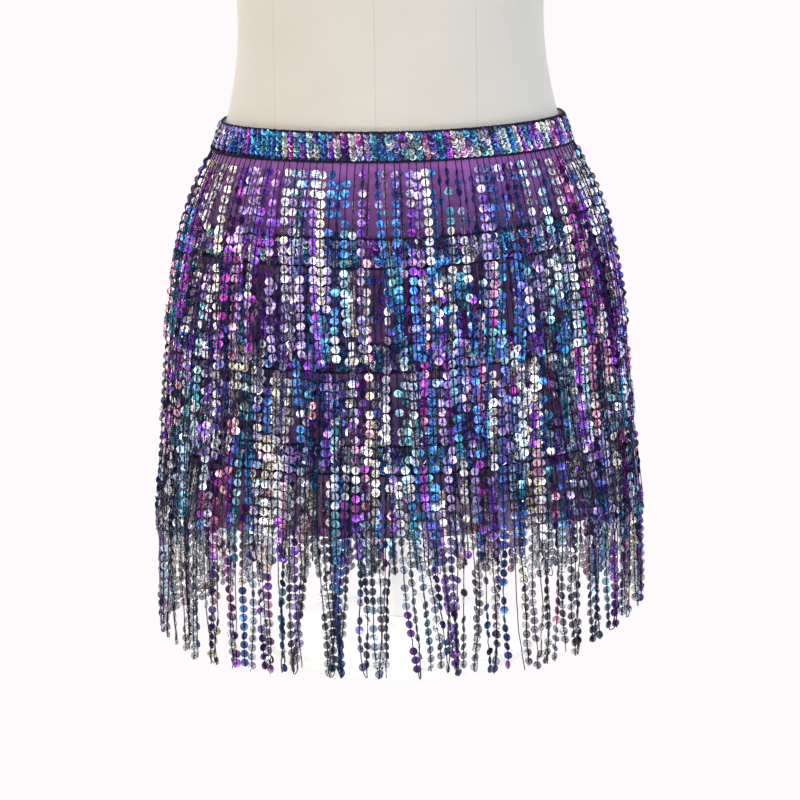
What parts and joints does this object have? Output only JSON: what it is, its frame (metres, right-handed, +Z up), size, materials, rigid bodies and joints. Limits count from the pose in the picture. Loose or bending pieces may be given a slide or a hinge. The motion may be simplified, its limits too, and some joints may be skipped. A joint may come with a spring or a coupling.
{
  "type": "belly dance hip scarf on a limbless hip form",
  "caption": "Stretch-mesh belly dance hip scarf with tiers of sequin fringe under sequin tapes, worn on a limbless hip form on a short pole and round base.",
  "frame": {"origin": "centre of the base's underside, on the surface that the form stands on", "axes": "+Z up along the pole, -Y towards the wearer's front, +X to the wearer's left"},
  "size_m": [0.3827, 0.2726, 0.53],
  "materials": {
    "form_cover": "cream linen cover, matt",
    "stand_paint": "white satin paint",
    "mesh_cloth": "purple stretch mesh, matt",
    "sequin_tape": "sequins in mixed blue, violet, aqua and silver, with dark navy corded edges",
    "sequin_strand": "strung cup sequins in mixed blue, violet, aqua and silver, glossy"
  },
  "bodies": {
    "root": {"hip_form": "form_cover", "form_socket": "stand_paint", "stand_pole": "stand_paint", "stand_base": "stand_paint", "skirt_cloth": "mesh_cloth", "waistband_tape": "sequin_tape", "tier2_tape": "sequin_tape", "tier3_tape": "sequin_tape", "tier4_tape": "sequin_tape", "tier1_fringe": "sequin_strand", "tier2_fringe": "sequin_strand", "tier3_fringe": "sequin_strand", "tier4_fringe": "sequin_strand"}
  },
  "joints": []
}
